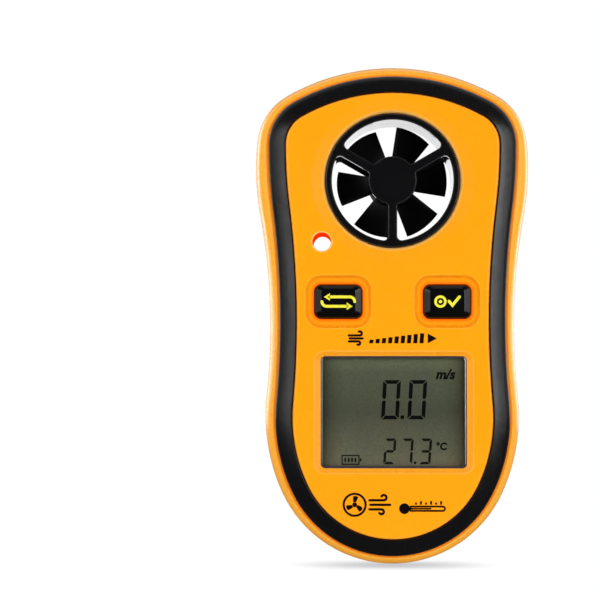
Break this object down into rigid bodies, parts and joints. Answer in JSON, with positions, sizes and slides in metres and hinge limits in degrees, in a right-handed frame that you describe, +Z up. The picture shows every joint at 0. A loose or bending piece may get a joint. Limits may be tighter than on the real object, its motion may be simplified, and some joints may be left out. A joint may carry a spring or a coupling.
{
  "type": "handheld weather meter",
  "caption": "Pocket wind and temperature meter: waisted two-shell case with rubber grip bands, a caged spinning vane in a through duct, a segment display, keys and a coin-cell door.",
  "frame": {"origin": "middle of the case's bottom end, on the parting plane between the two shells", "axes": "+Z up along the case towards the vane, the display faces -Y, +X to the right when looking at the display"},
  "size_m": [0.058, 0.0202, 0.1053],
  "materials": {
    "case_plastic": "satin moulded ABS, orange",
    "grip_rubber": "satin thermoplastic rubber, black",
    "duct_plastic": "moulded plastic, black",
    "bush_brass": "turned brass",
    "shaft_steel": "ground steel",
    "magnet": "ferrite ring, dark",
    "chip_black": "moulded epoxy, black",
    "ribbon": "flexible printed ribbon, dark",
    "thermistor_bead": "epoxy-dipped bead, black",
    "lead_wire": "tinned wire",
    "lens_clear": "clear acrylic, polished",
    "tape_black": "double-sided foam tape, black",
    "lcd_panel": "liquid-crystal panel, olive grey",
    "holder_white": "moulded plastic, white",
    "zebra_rubber": "layered elastomer, pink grey",
    "board_green": "glass-epoxy board, green",
    "screw_steel": "nickel-plated steel",
    "screw_brass": "bronze-coloured steel",
    "key_gloss": "glossy plastic, black",
    "switch_body": "moulded plastic, black",
    "switch_plunger": "moulded plastic, black",
    "can_steel": "drawn steel can",
    "cell_steel": "nickel-plated steel can",
    "contact_steel": "nickel-plated spring steel",
    "sticker_film": "white film label"
  },
  "bodies": {
    "case": {"front_case": "case_plastic", "rear_case": "case_plastic", "front_grip_band": "grip_rubber", "rear_grip_band": "grip_rubber", "front_vane_cage": "duct_plastic", "rear_vane_cage": "duct_plastic", "front_bearing": "bush_brass", "rear_bearing": "bush_brass", "hall_sensor": "chip_black", "sensor_ribbon": "ribbon", "thermistor": "thermistor_bead", "thermistor_leads": "lead_wire", "lcd_lens": "lens_clear", "lens_adhesive": "tape_black", "lcd_glass": "lcd_panel", "lcd_holder": "holder_white", "lcd_zebra_strip": "zebra_rubber", "pcb": "board_green", "pcb_screws": "screw_steel", "case_screws": "screw_brass", "mode_switch": "switch_body", "set_switch": "switch_body", "unit_switch": "switch_body", "main_chip": "chip_black", "clock_crystal": "can_steel", "smd_components": "chip_black", "battery_contact_negative": "contact_steel", "battery_contact_positive": "contact_steel", "qc_sticker": "sticker_film"},
    "rotor": {"vane_rotor": "duct_plastic", "rotor_shaft": "shaft_steel", "rotor_magnet": "magnet"},
    "mode_key": {"mode_button": "key_gloss", "mode_switch_plunger": "switch_plunger"},
    "set_key": {"set_button": "key_gloss", "set_switch_plunger": "switch_plunger"},
    "unit_key": {"unit_switch_plunger": "switch_plunger"},
    "door": {"battery_door": "case_plastic"},
    "door_screw": {"battery_door_screw": "screw_steel"},
    "battery": {"battery_cell": "cell_steel"}
  },
  "joints": [
    {"name": "vane_spin", "type": "hinge", "parent": "case", "child": "rotor", "pos_m": [0, 0, 0.0809], "axis": [0, 1, 0], "continuous": true},
    {"name": "mode_press", "type": "slide", "parent": "case", "child": "mode_key", "axis": [0, 1, 0], "range_m": [0, 0.0004]},
    {"name": "set_press", "type": "slide", "parent": "case", "child": "set_key", "axis": [0, 1, 0], "range_m": [0, 0.0004]},
    {"name": "unit_press", "type": "slide", "parent": "case", "child": "unit_key", "axis": [0, -1, 0], "range_m": [0, 0.00025]},
    {"name": "battery_door_lift", "type": "slide", "parent": "case", "child": "door", "axis": [0, 1, 0], "range_m": [0, 0.024]},
    {"name": "battery_lift", "type": "slide", "parent": "case", "child": "battery", "axis": [0, 1, 0], "range_m": [0, 0.012]},
    {"name": "door_screw_turn", "type": "hinge", "parent": "door", "child": "door_screw", "pos_m": [0, 0.009, 0.0227], "axis": [0, 1, 0], "continuous": true}
  ],
  "couplings": [
    {"joint": "battery_lift", "follows": "battery_door_lift", "ratio": 0.5}
  ]
}
